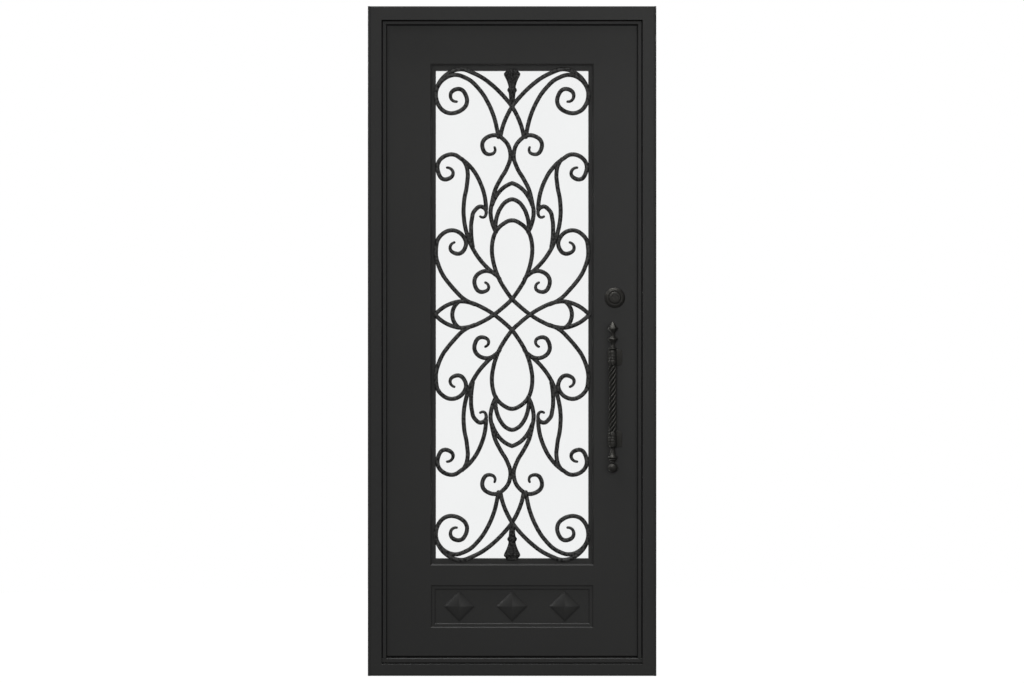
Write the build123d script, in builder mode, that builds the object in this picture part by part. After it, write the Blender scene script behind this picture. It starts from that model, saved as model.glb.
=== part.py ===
from build123d import *

import os
from math import atan2, sqrt, tan

# A single entry door of wrought iron: a steel frame, an inswing leaf with a tall
# scrollwork light over a low kick panel, a twisted pull handle and a deadbolt.
# Units are millimetres. X runs to the right as seen from outside, Z runs up, and
# the outside faces -Y. The origin is the middle of the sill's underside.

# Frame
frame_width = 1066.8
frame_height = 2476.5
frame_depth = 130.0
frame_face = 51.0
sill_face = 44.5
frame_edge_radius = 4.0
frame_arris_radius = 1.5

# Stops that the leaf closes against, and the step of the threshold
stop_width = 16.0
stop_setback = 30.0
threshold_rise = 19.8
seal_gap = 5.0
seal_thickness = 4.5
seal_width = 6.0
seal_inset = 1.0

# Leaf and the gaps round it
leaf_thickness = 63.5
hinge_gap = 5.0
lock_gap = 8.0
head_gap = 5.0
bottom_gap = 5.7
sweep_height = 4.9
sweep_inset = 8.0
leaf_edge_radius = 1.5

# Light: the clear glass, and the ledge that runs round it
light_width = 567.0
light_sill = 430.0
light_head_margin = 177.5
ledge_width = 18.5
ledge_height = 23.5
ledge_setback = 20.0
ledge_thickness = 10.0
glass_thickness = 19.0
glass_edge_gap = 2.0

# Kick panel, with a moulding round it on each face
kick_height = 155.5
kick_sill = 175.5
kick_moulding_width = 13.5
kick_moulding_height = 16.5
kick_moulding_setback = 8.0
kick_panel_setback = 16.0

# Pyramid studs, square and turned on their corners
stud_side = 82.0
stud_base = 3.0
stud_rise = 15.0
stud_tip = 1.0
stud_spacing = 196.0
stud_count = 3

# Barrel hinges, which stand on the inner face
hinge_count = 3
hinge_margin = 260.0
barrel_radius = 14.0
barrel_half_height = 75.0
barrel_gap = 1.0
barrel_stand_off = 15.0
hinge_pin_radius = 6.0
hinge_pin_height = 60.0
hinge_bore_clearance = 0.05
hinge_bore_end_gap = 2.0
hinge_tab_width = 42.0
hinge_tab_thickness = 6.0

# Pull handle
hardware_line = 381.0
pull_offset = 9.0
pull_stand_off = 60.0
pull_middle_height = 1026.5
mount_spacing = 303.0
mount_height = 60.0
grip_radius = 15.0
hub_radius = 15.5
hub_groove_depth = 1.5
hub_groove_height = 3.0
hub_groove_count = 4
plate_width = 54.0
plate_height = 61.0
plate_thickness = 6.0
plate_corner_radius = 6.0
post_width = 26.0
post_height = 40.0

# Turned profiles as radius and height, from the outer end of a mount outwards
upper_finial_profile = [
    (15.5, 0), (16.5, 2), (15.5, 4), (9.0, 14), (7.5, 20), (9.5, 25), (18.5, 35),
    (19.6, 39), (19.6, 46), (12.0, 49), (7.8, 52), (7.8, 60), (12.0, 62), (18.5, 72),
    (18.5, 78), (12.0, 91), (4.0, 102), (0, 104),
]
lower_finial_profile = [
    (15.5, 0), (21.0, 1), (21.0, 7), (10.0, 9), (7.8, 13), (9.0, 22), (13.0, 32),
    (17.5, 37), (17.5, 43), (12.0, 46), (16.0, 49), (16.0, 53), (10.0, 56),
    (9.0, 59), (14.5, 65), (17.8, 74), (17.8, 80), (14.0, 90), (7.5, 96), (0, 98),
]

# Deadbolt
deadbolt_height = 1399.0
rose_radius = 38.0
rose_thickness = 7.0
rose_step_radius = 31.0
rose_step_thickness = 6.0
cylinder_radius = 22.0
cylinder_proud = 7.0
keyway_width = 3.0
keyway_height = 11.0
keyway_depth = 4.0
thumb_rose_radius = 30.0
thumb_turn_length = 46.0
thumb_turn_width = 11.0
thumb_turn_proud = 22.0

# Scrollwork bars, bent in one flat layer on the front of the ledge. The points
# are x and z from the middle of the light, on a drawing of the light's first size.
drawn_light_width = 567.0
drawn_light_height = 1813.0
bar_width = 14.0
bar_depth = 14.0
scroll_tip_width = 8.5
scroll_taper_length = 60.0
cross_bar_points = [
    (-284, 812), (-275, 852), (-244, 891), (-194, 911), (-137, 894), (-106, 877),
    (-77, 855), (-35, 815), (0, 772), (24, 727), (36, 694), (43, 660),
]
corner_scroll_points = [
    (-206, 791), (-222, 796), (-229, 815), (-202, 838), (-168, 802), (-220, 748),
    (-283, 820), (-259, 870), (-216, 890), (-166, 876), (-119, 833), (-87, 782),
    (-68, 736), (-54, 678), (-51, 660),
]
neck_scroll_points = [
    (-65, 621), (-64, 606), (-84, 595), (-111, 628), (-71, 666), (-22, 640), (-6, 591),
    (-21, 540), (-42, 505), (-63, 463), (-74, 419), (-80, 379), (-74, 341), (-60, 307),
]
pointed_arch_points = [(8, 491), (-24, 477), (-44, 460), (-61, 437), (-74, 408)]
round_arch_points = [(0, 428), (-23, 419), (-44, 394), (-57, 362), (-62, 318)]
ribbon_points = [
    (0, 350), (-37, 334), (-62, 305), (-72, 274), (-75, 237), (-69, 193), (-49, 134),
    (-20, 85), (0, 58), (33, 27), (67, 0), (106, -24), (157, -45), (191, -49), (234, -38),
    (286, 0),
]
side_scroll_points = [
    (-215, 268), (-230, 252), (-204, 226), (-172, 256), (-183, 293), (-221, 313),
    (-269, 289), (-283, 234), (-267, 167), (-220, 99), (-168, 50), (-137, 33),
]
plume_bar_points = [
    (-241, 546), (-220, 531), (-245, 502), (-277, 541), (-226, 595), (-180, 572),
    (-142, 533), (-117, 487), (-102, 440), (-97, 392),
]
plume_stem_points = [
    (-185, 577), (-170, 553), (-165, 528), (-168, 480), (-178, 424), (-180, 372),
    (-172, 316), (-154, 262), (-128, 216), (-94, 176), (-53, 142),
]
hook_scroll_points = [
    (-118, 364), (-107, 361), (-96, 379), (-114, 401), (-140, 385), (-150, 351),
    (-152, 303), (-146, 252),
]
small_scroll_points = [
    (-99, 119), (-87, 101), (-110, 84), (-140, 119), (-97, 162), (-67, 153), (-45, 130),
]
end_crescent_points = [(-199, 47), (-222, 0), (-199, -47)]

# Husk casting at each end of the light, as half width and height from the middle
husk_depth = 19.0
husk_points = [
    (22, 913), (31, 899), (31, 888), (21, 871), (15, 852), (13, 843), (16.5, 839),
    (16.5, 831), (12.5, 827), (12.5, 785),
]

# Places worked out from the sizes above
half_width = frame_width / 2
outer_face = -frame_depth / 2
inner_face = frame_depth / 2
jamb_edge = half_width - frame_face
head_underside = frame_height - frame_face
threshold_top = sill_face + threshold_rise
stop_front = outer_face + stop_setback
leaf_front = inner_face - leaf_thickness
leaf_middle = inner_face - leaf_thickness / 2
stop_back = leaf_front - seal_gap
leaf_hinge_edge = -jamb_edge + hinge_gap
leaf_lock_edge = jamb_edge - lock_gap
leaf_top = head_underside - head_gap
leaf_bottom = threshold_top + bottom_gap
light_height = leaf_top - light_head_margin - light_sill
light_middle = light_sill + light_height / 2
recess_width = light_width + 2 * ledge_width
recess_height = light_height + 2 * ledge_height
recess_sill = light_sill - ledge_height
recess_head = recess_sill + recess_height
kick_head = kick_sill + kick_height
ledge_front = leaf_front + ledge_setback
glass_front = ledge_front + ledge_thickness
glass_back = glass_front + glass_thickness
barrel_y = inner_face + barrel_stand_off
barrel_x = leaf_hinge_edge - hinge_gap / 2
pull_x = hardware_line - pull_offset
pull_y = leaf_front - pull_stand_off
upper_mount_height = pull_middle_height + mount_spacing / 2
lower_mount_height = pull_middle_height - mount_spacing / 2

os.makedirs("parts", exist_ok=True)


def finish(piece, name):
    """Names a finished piece and writes it as a file of its own."""
    piece.part.label = name
    export_step(piece.part, f"parts/{name}.step")


# The frame


def front_slab(outline, front, back):
    """A straight slab between two depths, from its outline as seen from outside."""
    with BuildPart() as slab:
        with BuildSketch(Plane.XZ.offset(-back)):
            with BuildLine():
                Polyline(*outline, close=True)
            make_face()
        extrude(amount=back - front)
    return slab.part


def rectangle_outline(left, right, bottom, top):
    return [(left, bottom), (right, bottom), (right, top), (left, top)]


hinge_jamb_outline = [
    (-half_width, sill_face), (-jamb_edge, sill_face),
    (-jamb_edge, head_underside), (-half_width, frame_height),
]
with BuildPart() as hinge_jamb:
    add(front_slab(hinge_jamb_outline, outer_face, inner_face))
    upright_edges = hinge_jamb.edges().filter_by(Axis.Z)
    fillet(upright_edges.group_by(Axis.X)[0], frame_edge_radius)
    fillet(hinge_jamb.edges().filter_by(Axis.Z).group_by(Axis.X)[-1], frame_arris_radius)
finish(hinge_jamb, "hinge_jamb")

with BuildPart() as lock_jamb:
    mirror(hinge_jamb.part, about=Plane.YZ)
finish(lock_jamb, "lock_jamb")

head_outline = [
    (-jamb_edge, head_underside), (jamb_edge, head_underside),
    (half_width, frame_height), (-half_width, frame_height),
]
with BuildPart() as head_jamb:
    add(front_slab(head_outline, outer_face, inner_face))
    fillet(head_jamb.edges().filter_by(Axis.X).group_by(Axis.Z)[-1], frame_edge_radius)
    fillet(head_jamb.edges().filter_by(Axis.X).group_by(Axis.Z)[0], frame_arris_radius)
finish(head_jamb, "head_jamb")

with BuildPart() as sill:
    add(front_slab(rectangle_outline(-half_width, half_width, 0, sill_face), outer_face, inner_face))
    fillet(sill.edges().filter_by(Axis.Z), frame_edge_radius)
    fillet(sill.faces().sort_by(Axis.Z)[0].edges(), frame_arris_radius)
finish(sill, "sill")

with BuildPart() as threshold_step:
    step_outline = rectangle_outline(-jamb_edge, jamb_edge, sill_face, threshold_top)
    add(front_slab(step_outline, stop_front, inner_face))
    fillet(threshold_step.edges().filter_by(Axis.X).group_by(Axis.Z)[-1], frame_arris_radius)
finish(threshold_step, "threshold_step")

# The stops, mitred at the top corners
stop_edge = jamb_edge - stop_width
stop_underside = head_underside - stop_width
hinge_stop_outline = [
    (-jamb_edge, threshold_top), (-stop_edge, threshold_top),
    (-stop_edge, stop_underside), (-jamb_edge, head_underside),
]
with BuildPart() as hinge_stop:
    add(front_slab(hinge_stop_outline, stop_front, stop_back))
    stop_arris = hinge_stop.edges().filter_by(Axis.Z).sort_by(Axis.X)[-2:].sort_by(Axis.Y)[0]
    fillet(stop_arris, frame_arris_radius)
finish(hinge_stop, "hinge_side_stop")

with BuildPart() as lock_stop:
    mirror(hinge_stop.part, about=Plane.YZ)
finish(lock_stop, "lock_side_stop")

head_stop_outline = [
    (-stop_edge, stop_underside), (stop_edge, stop_underside),
    (jamb_edge, head_underside), (-jamb_edge, head_underside),
]
with BuildPart() as head_stop:
    add(front_slab(head_stop_outline, stop_front, stop_back))
    stop_arris = head_stop.edges().filter_by(Axis.X).sort_by(Axis.Z)[:2].sort_by(Axis.Y)[0]
    fillet(stop_arris, frame_arris_radius)
finish(head_stop, "head_stop")

# The rubber seal on the back of the stops
seal_back = stop_back + seal_thickness
seal_hinge_edge = leaf_hinge_edge + seal_inset
seal_lock_edge = leaf_lock_edge - seal_inset
seal_top = leaf_top - seal_inset
side_seal_top = seal_top - seal_width - seal_inset
with BuildPart() as weather_seal:
    for left in (seal_hinge_edge, seal_lock_edge - seal_width):
        side_outline = rectangle_outline(left, left + seal_width, threshold_top, side_seal_top)
        add(front_slab(side_outline, stop_back, seal_back))
    top_outline = rectangle_outline(seal_hinge_edge, seal_lock_edge, seal_top - seal_width, seal_top)
    add(front_slab(top_outline, stop_back, seal_back))
finish(weather_seal, "weather_seal")

# The leaf, as stiles between which the rails are welded
half_recess = recess_width / 2
with BuildPart() as hinge_stile:
    stile_outline = rectangle_outline(leaf_hinge_edge, -half_recess, leaf_bottom, leaf_top)
    add(front_slab(stile_outline, leaf_front, inner_face))
    fillet(hinge_stile.edges().filter_by(Axis.Z).group_by(Axis.X)[0], leaf_edge_radius)
finish(hinge_stile, "hinge_stile")

with BuildPart() as lock_stile:
    stile_outline = rectangle_outline(half_recess, leaf_lock_edge, leaf_bottom, leaf_top)
    add(front_slab(stile_outline, leaf_front, inner_face))
    fillet(lock_stile.edges().filter_by(Axis.Z).group_by(Axis.X)[-1], leaf_edge_radius)
finish(lock_stile, "lock_stile")

rails = {
    "top_rail": (recess_head, leaf_top),
    "middle_rail": (kick_head, recess_sill),
    "bottom_rail": (leaf_bottom, kick_sill),
}
for rail_name, (rail_bottom, rail_top) in rails.items():
    with BuildPart() as rail:
        rail_outline = rectangle_outline(-half_recess, half_recess, rail_bottom, rail_top)
        add(front_slab(rail_outline, leaf_front, inner_face))
    finish(rail, rail_name)

with BuildPart() as bottom_sweep:
    sweep_outline = rectangle_outline(
        leaf_hinge_edge + sweep_inset, leaf_lock_edge - sweep_inset, leaf_bottom - sweep_height, leaf_bottom
    )
    add(front_slab(sweep_outline, leaf_front + sweep_inset, inner_face - sweep_inset))
finish(bottom_sweep, "bottom_sweep")

# The light: a ledge in front of the glass, the glass, and a frame behind it


def border(front, back, width, height, side, end, middle):
    """A flat rectangular border between two depths, open in the middle."""
    with BuildPart() as ring:
        with BuildSketch(Plane.XZ.offset(-back)):
            with Locations((0, middle)):
                Rectangle(width, height)
                Rectangle(width - 2 * side, height - 2 * end, mode=Mode.SUBTRACT)
        extrude(amount=back - front)
    return ring.part


with BuildPart() as light_ledge:
    add(border(ledge_front, glass_front, recess_width, recess_height, ledge_width, ledge_height, light_middle))
finish(light_ledge, "light_ledge")

with BuildPart() as glass_pane:
    with BuildSketch(Plane.XZ.offset(-glass_back)):
        with Locations((0, light_middle)):
            Rectangle(recess_width - 2 * glass_edge_gap, recess_height - 2 * glass_edge_gap)
    extrude(amount=glass_thickness)
finish(glass_pane, "glass_pane")

with BuildPart() as glazing_frame:
    add(border(glass_back, inner_face, recess_width, recess_height, ledge_width, ledge_height, light_middle))
finish(glazing_frame, "glazing_frame")

# The kick panel, its mouldings and its studs
kick_middle = kick_sill + kick_height / 2
panel_front = leaf_front + kick_panel_setback
panel_back = inner_face - kick_panel_setback
with BuildPart() as kick_panel:
    with BuildSketch(Plane.XZ.offset(-panel_back)):
        with Locations((0, kick_middle)):
            Rectangle(recess_width, kick_height)
    extrude(amount=panel_back - panel_front)
finish(kick_panel, "kick_panel")

with BuildPart() as kick_moulding:
    moulding_faces = [
        (leaf_front + kick_moulding_setback, panel_front),
        (panel_back, inner_face - kick_moulding_setback),
    ]
    for front, back in moulding_faces:
        add(
            border(
                front, back, recess_width, kick_height, kick_moulding_width, kick_moulding_height, kick_middle
            )
        )
finish(kick_moulding, "kick_panel_moulding")

with BuildPart() as pyramid_studs:
    stud_places = GridLocations(stud_spacing, 0, stud_count, 1)
    stud_plane = Plane(origin=(0, panel_front, kick_middle), x_dir=(1, 0, 0), z_dir=(0, -1, 0))
    with BuildSketch(stud_plane):
        with stud_places:
            Rectangle(stud_side, stud_side, rotation=45)
    extrude(amount=stud_base)
    for place in stud_places.local_locations:
        with BuildSketch(stud_plane.offset(stud_base)):
            with Locations(place):
                Rectangle(stud_side, stud_side, rotation=45)
        with BuildSketch(stud_plane.offset(stud_base + stud_rise)):
            with Locations(place):
                Rectangle(stud_tip, stud_tip, rotation=45)
        loft()
finish(pyramid_studs, "pyramid_studs")

# The hinges: a lower barrel with the pin on the frame, and an upper barrel on the leaf
hinge_span = leaf_top - leaf_bottom - 2 * hinge_margin
hinge_heights = [leaf_bottom + hinge_margin + hinge_span * i / (hinge_count - 1) for i in range(hinge_count)]
tab_front = inner_face
tab_back = inner_face + hinge_tab_thickness

with BuildPart() as hinge_frame_halves:
    for height in hinge_heights:
        with BuildSketch(Plane.XY.offset(height - barrel_half_height)):
            with Locations((barrel_x, barrel_y)):
                Circle(barrel_radius)
            with BuildLine():
                Polyline(
                    (barrel_x, barrel_y), (barrel_x - barrel_radius, barrel_y),
                    (barrel_x - barrel_radius, tab_back), (-jamb_edge - hinge_tab_width, tab_back),
                    (-jamb_edge - hinge_tab_width, tab_front), (-jamb_edge, tab_front),
                    close=True,
                )
            make_face()
        extrude(amount=barrel_half_height)
        with BuildSketch(Plane.XY.offset(height)):
            with Locations((barrel_x, barrel_y)):
                Circle(hinge_pin_radius)
        extrude(amount=hinge_pin_height)
finish(hinge_frame_halves, "hinge_frame_halves")

with BuildPart() as hinge_leaf_halves:
    for height in hinge_heights:
        with BuildSketch(Plane.XY.offset(height + barrel_gap)):
            with Locations((barrel_x, barrel_y)):
                Circle(barrel_radius)
            with BuildLine():
                Polyline(
                    (barrel_x, barrel_y), (barrel_x + barrel_radius, barrel_y),
                    (barrel_x + barrel_radius, tab_back), (leaf_hinge_edge + hinge_tab_width, tab_back),
                    (leaf_hinge_edge + hinge_tab_width, tab_front), (leaf_hinge_edge, tab_front),
                    close=True,
                )
            make_face()
        extrude(amount=barrel_half_height)
        with BuildSketch(Plane.XY.offset(height + barrel_gap)):
            with Locations((barrel_x, barrel_y)):
                Circle(hinge_pin_radius + hinge_bore_clearance)
        extrude(amount=hinge_pin_height - barrel_gap + hinge_bore_end_gap, mode=Mode.SUBTRACT)
finish(hinge_leaf_halves, "hinge_leaf_halves")

# The outer pull, and the inner one as its mirror image through the leaf
pull_base = Plane(origin=(pull_x, pull_y, 0), x_dir=(1, 0, 0), z_dir=(0, 0, 1))


def turned(profile, start, direction):
    """A turned piece on the pull's axis, from its radius and height pairs."""
    with BuildPart() as piece:
        with BuildSketch(Plane(origin=(pull_x, pull_y, start), x_dir=(1, 0, 0), z_dir=(0, -1, 0))):
            with BuildLine():
                Polyline((0, 0), *[(radius, direction * height) for radius, height in profile], close=True)
            make_face()
        revolve(axis=Axis((pull_x, pull_y, start), (0, 0, 1)))
    return piece.part


def mount(height):
    """A grooved hub on its post and base plate."""
    with BuildPart() as piece:
        plate_plane = Plane(origin=(hardware_line, leaf_front, height), x_dir=(1, 0, 0), z_dir=(0, -1, 0))
        with BuildSketch(plate_plane):
            RectangleRounded(plate_width, plate_height, plate_corner_radius)
        extrude(amount=plate_thickness)
        with BuildSketch(plate_plane.offset(plate_thickness)):
            with Locations((-pull_offset, 0)):
                Rectangle(post_width, post_height)
        extrude(amount=pull_stand_off - plate_thickness)
        with BuildSketch(pull_base.offset(height - mount_height / 2)):
            Circle(hub_radius)
        extrude(amount=mount_height)
        groove_pitch = (mount_height - post_height) / hub_groove_count
        for groove in range(hub_groove_count):
            side = 1 if groove % 2 else -1
            step = post_height / 2 + (groove // 2 + 0.5) * groove_pitch
            with BuildSketch(pull_base.offset(height + side * step - hub_groove_height / 2)):
                Circle(hub_radius)
                Circle(hub_radius - hub_groove_depth, mode=Mode.SUBTRACT)
            extrude(amount=hub_groove_height, mode=Mode.SUBTRACT)
    return piece.part


with BuildPart() as upper_mount:
    add(mount(upper_mount_height))
finish(upper_mount, "pull_upper_mount")

with BuildPart() as lower_mount:
    add(mount(lower_mount_height))
finish(lower_mount, "pull_lower_mount")

grip_bottom = lower_mount_height + mount_height / 2
grip_top = upper_mount_height - mount_height / 2
with BuildPart() as grip:
    with BuildSketch(pull_base.offset(grip_bottom)):
        Circle(grip_radius)
    extrude(amount=grip_top - grip_bottom)
finish(grip, "pull_grip")

with BuildPart() as upper_finial:
    add(turned(upper_finial_profile, upper_mount_height + mount_height / 2, 1))
finish(upper_finial, "pull_upper_finial")

with BuildPart() as lower_finial:
    add(turned(lower_finial_profile, lower_mount_height - mount_height / 2, -1))
finish(lower_finial, "pull_lower_finial")

leaf_middle_plane = Plane.XZ.offset(-leaf_middle)
inner_pull_pieces = {
    "inner_pull_upper_mount": (upper_mount, upper_finial),
    "inner_pull_lower_mount": (lower_mount, lower_finial),
    "inner_pull_grip": (grip,),
}
for piece_name, outer_pieces in inner_pull_pieces.items():
    with BuildPart() as inner_piece:
        for outer_piece in outer_pieces:
            mirror(outer_piece.part, about=leaf_middle_plane)
    finish(inner_piece, piece_name)

# The deadbolt: a stepped rose and a cylinder outside, a rose and a thumb turn inside
lock_outside = Plane(origin=(hardware_line, leaf_front, deadbolt_height), x_dir=(1, 0, 0), z_dir=(0, -1, 0))
lock_inside = Plane(origin=(hardware_line, inner_face, deadbolt_height), x_dir=(-1, 0, 0), z_dir=(0, 1, 0))
rose_front = rose_thickness + rose_step_thickness
with BuildPart() as deadbolt_rose:
    with BuildSketch(lock_outside):
        Circle(rose_radius)
    extrude(amount=rose_thickness)
    chamfer(deadbolt_rose.faces().sort_by(Axis.Y)[0].edges(), rose_thickness / 3)
    with BuildSketch(lock_outside.offset(rose_thickness)):
        Circle(rose_step_radius)
    extrude(amount=rose_step_thickness)
    with BuildSketch(lock_outside):
        Circle(cylinder_radius)
    extrude(amount=rose_front, mode=Mode.SUBTRACT)
finish(deadbolt_rose, "deadbolt_rose")

with BuildPart() as lock_cylinder:
    with BuildSketch(lock_outside):
        Circle(cylinder_radius)
    extrude(amount=rose_front + cylinder_proud)
    with BuildSketch(lock_outside.offset(rose_front + cylinder_proud - keyway_depth)):
        Rectangle(keyway_width, keyway_height)
    extrude(amount=keyway_depth, mode=Mode.SUBTRACT)
finish(lock_cylinder, "lock_cylinder")

with BuildPart() as thumb_rose:
    with BuildSketch(lock_inside):
        Circle(thumb_rose_radius)
    extrude(amount=rose_thickness)
    chamfer(thumb_rose.faces().sort_by(Axis.Y)[-1].edges(), rose_thickness / 3)
finish(thumb_rose, "thumb_turn_rose")

with BuildPart() as thumb_turn:
    with BuildSketch(lock_inside.offset(rose_thickness)):
        SlotOverall(thumb_turn_length, thumb_turn_width)
    extrude(amount=thumb_turn_proud)
finish(thumb_turn, "thumb_turn")

# The scrollwork. A bar's centreline is a chain of arcs, each tangent to the next:
# points and directions in the light's plane are complex numbers while it is bent.
stretch_x = light_width / drawn_light_width
stretch_z = light_height / drawn_light_height
grille_plane = Plane(origin=(0, ledge_front, light_middle), x_dir=(1, 0, 0), z_dir=(0, -1, 0))
straight_angle = 1e-4


def unit(vector):
    return vector / abs(vector)


def angle_between(first, second):
    """The signed turn from one direction to another."""
    turn = second / first
    return atan2(turn.imag, turn.real)


def dot(first, second):
    return first.real * second.real + first.imag * second.imag


def directions_at(points, start_direction, end_direction):
    """The bar's direction at each point, from the circle through its neighbours."""
    inner = []
    for before, here, after in zip(points, points[1:], points[2:]):
        inner.append(unit((after - here) * (here - before) / (after - before)))
    first_chord = unit(points[1] - points[0])
    last_chord = unit(points[-1] - points[-2])
    first = start_direction or first_chord**2 * inner[0].conjugate()
    last = end_direction or last_chord**2 * inner[-1].conjugate()
    return [first, *inner, last]


def bend(points, start_direction=None, end_direction=None):
    """Stations along the bar: start, middle and end of each arc, with the direction there."""
    directions = directions_at(points, start_direction, end_direction)
    arcs = []
    for start, end, leaving, arriving in zip(points, points[1:], directions, directions[1:]):
        chord = end - start
        along = dot(chord, leaving + arriving)
        reach = abs(chord) ** 2 / (along + sqrt(along**2 + 2 * (1 - dot(leaving, arriving)) * abs(chord) ** 2))
        first_corner = start + reach * leaving
        last_corner = end - reach * arriving
        joint = (first_corner + last_corner) / 2
        passing = unit(last_corner - first_corner)
        arcs.append(arc_stations(start, joint, leaving, passing))
        arcs.append(arc_stations(joint, end, passing, arriving))
    return arcs


def arc_stations(start, end, leaving, arriving):
    chord = end - start
    half_turn = angle_between(leaving, chord)
    middle = (start + end) / 2 - 1j * chord / 2 * tan(half_turn / 2)
    return [(start, leaving), (middle, unit(chord)), (end, arriving)]


def side_points(arcs, side, widths):
    """One side of the bar, as three points for each arc."""
    return [
        [point + side * 1j * direction * width / 2 for (point, direction), width in zip(arc, arc_widths)]
        for arc, arc_widths in zip(arcs, widths)
    ]


def widths_along(arcs, tapered):
    """The bar's width at each station: a scroll is drawn down towards its tip."""
    widths = []
    travelled = 0
    for start, middle, end in arcs:
        half_length = abs(middle[0] - start[0])
        lengths = [travelled, travelled + half_length, travelled + 2 * half_length]
        travelled = lengths[-1]
        if tapered:
            shares = [min(1, length / scroll_taper_length) for length in lengths]
        else:
            shares = [1, 1, 1]
        widths.append([scroll_tip_width + (bar_width - scroll_tip_width) * share for share in shares])
    return widths


def flat(point):
    return (point.real, point.imag)


def draw_arc(start, middle, end):
    """An arc, or a line where the bar runs straight."""
    if abs(angle_between(middle - start, end - middle)) < straight_angle:
        Line(flat(start), flat(end))
    else:
        ThreePointArc(flat(start), flat(middle), flat(end))


def bar_outline(points, tapered=False, round_end=False, start_direction=None, end_direction=None):
    """The outline of one bent bar in the light's plane. A tapered bar starts at a round tip."""
    drawn = [complex(x * stretch_x, z * stretch_z) for x, z in points]
    arcs = bend(drawn, start_direction, end_direction)
    widths = widths_along(arcs, tapered)
    left = side_points(arcs, 1, widths)
    right = side_points(arcs, -1, widths)
    start, leaving = arcs[0][0]
    end, arriving = arcs[-1][-1]
    with BuildSketch() as bar:
        with BuildLine():
            for side in (left, right):
                for arc in side:
                    draw_arc(*arc)
            if tapered:
                draw_arc(left[0][0], start - leaving * widths[0][0] / 2, right[0][0])
            else:
                Line(flat(left[0][0]), flat(right[0][0]))
            if round_end:
                draw_arc(left[-1][-1], end + arriving * widths[-1][-1] / 2, right[-1][-1])
            else:
                Line(flat(left[-1][-1]), flat(right[-1][-1]))
        make_face()
    return bar.sketch


def mirrored(outline, across=True, upright=True):
    """An outline with its mirror images to the right and below."""
    with BuildSketch() as pattern:
        add(outline)
        if across:
            mirror(about=Plane.YZ)
        if upright:
            mirror(about=Plane.XZ)
    return pattern.sketch


def trimmed(outline, *carriers):
    """A bar cut off where it is welded to the bars that carry it."""
    with BuildSketch() as cut:
        add(outline)
        for carrier in carriers:
            add(carrier, mode=Mode.SUBTRACT)
    return cut.faces().sort_by(SortBy.AREA)[-1]


def grille_piece(pattern, name, depth=bar_depth):
    """A set of like bars on the front of the ledge."""
    with BuildPart() as piece:
        with BuildSketch(grille_plane):
            add(pattern)
        extrude(amount=depth)
    finish(piece, name)


leftward = complex(-1, 0)
with BuildSketch() as right_half:
    Rectangle(recess_width, recess_height, align=(Align.MIN, Align.CENTER))

ribbon = mirrored(bar_outline(ribbon_points, round_end=True, start_direction=leftward))
neck_scroll = trimmed(bar_outline(neck_scroll_points, tapered=True), ribbon)
neck_scrolls = mirrored(neck_scroll)
corner_scroll = trimmed(bar_outline(corner_scroll_points, tapered=True), neck_scrolls)
corner_scrolls = mirrored(corner_scroll)
cross_bars = mirrored(trimmed(bar_outline(cross_bar_points), corner_scrolls, neck_scrolls))
pointed_arch = trimmed(bar_outline(pointed_arch_points), neck_scrolls, right_half.sketch)
round_arch = trimmed(
    bar_outline(round_arch_points, start_direction=leftward), neck_scrolls, ribbon
)
plume_bar = bar_outline(plume_bar_points, tapered=True)
plume_stem = trimmed(bar_outline(plume_stem_points), plume_bar, ribbon)
side_scroll = trimmed(bar_outline(side_scroll_points, tapered=True), plume_stem, ribbon)
hook_scroll = trimmed(bar_outline(hook_scroll_points, tapered=True), plume_stem)
plume_bar = trimmed(plume_bar, hook_scroll)
small_scroll = trimmed(bar_outline(small_scroll_points, tapered=True), plume_stem, ribbon)
end_crescent = trimmed(bar_outline(end_crescent_points), ribbon)

with BuildSketch() as husk:
    with BuildLine():
        husk_side = [(-x * stretch_x, z * stretch_z) for x, z in husk_points]
        Polyline(*husk_side, *[(-x, z) for x, z in reversed(husk_side)], close=True)
    make_face()

grille_piece(ribbon, "centre_ribbon")
grille_piece(neck_scrolls, "neck_scrolls")
grille_piece(corner_scrolls, "corner_scrolls")
grille_piece(cross_bars, "cross_bars")
grille_piece(mirrored(pointed_arch), "pointed_arches")
grille_piece(mirrored(round_arch), "round_arches")
grille_piece(mirrored(side_scroll), "side_scrolls")
grille_piece(mirrored(plume_bar), "plume_bars")
grille_piece(mirrored(plume_stem), "plume_stems")
grille_piece(mirrored(hook_scroll), "hook_scrolls")
grille_piece(mirrored(small_scroll), "small_scrolls")
grille_piece(mirrored(end_crescent, upright=False), "end_crescents")
grille_piece(mirrored(trimmed(husk.sketch, cross_bars), across=False), "husks", husk_depth)
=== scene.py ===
from contextlib import contextmanager
from math import atan2, cos, pi, radians, sin, sqrt

import bpy
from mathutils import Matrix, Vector


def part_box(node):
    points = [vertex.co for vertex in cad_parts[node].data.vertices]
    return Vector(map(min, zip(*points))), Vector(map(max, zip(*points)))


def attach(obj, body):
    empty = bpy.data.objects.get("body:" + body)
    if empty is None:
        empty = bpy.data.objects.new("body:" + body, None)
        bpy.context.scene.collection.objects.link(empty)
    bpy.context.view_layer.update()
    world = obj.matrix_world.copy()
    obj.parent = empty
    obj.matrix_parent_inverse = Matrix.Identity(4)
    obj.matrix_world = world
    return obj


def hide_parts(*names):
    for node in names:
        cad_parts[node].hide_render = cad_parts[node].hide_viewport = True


# The looks of a wrought iron entry door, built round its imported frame. Lengths are
# metres, in the frame's own axes: X to the right as seen from outside, Z up, the
# outside facing -Y.

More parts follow.
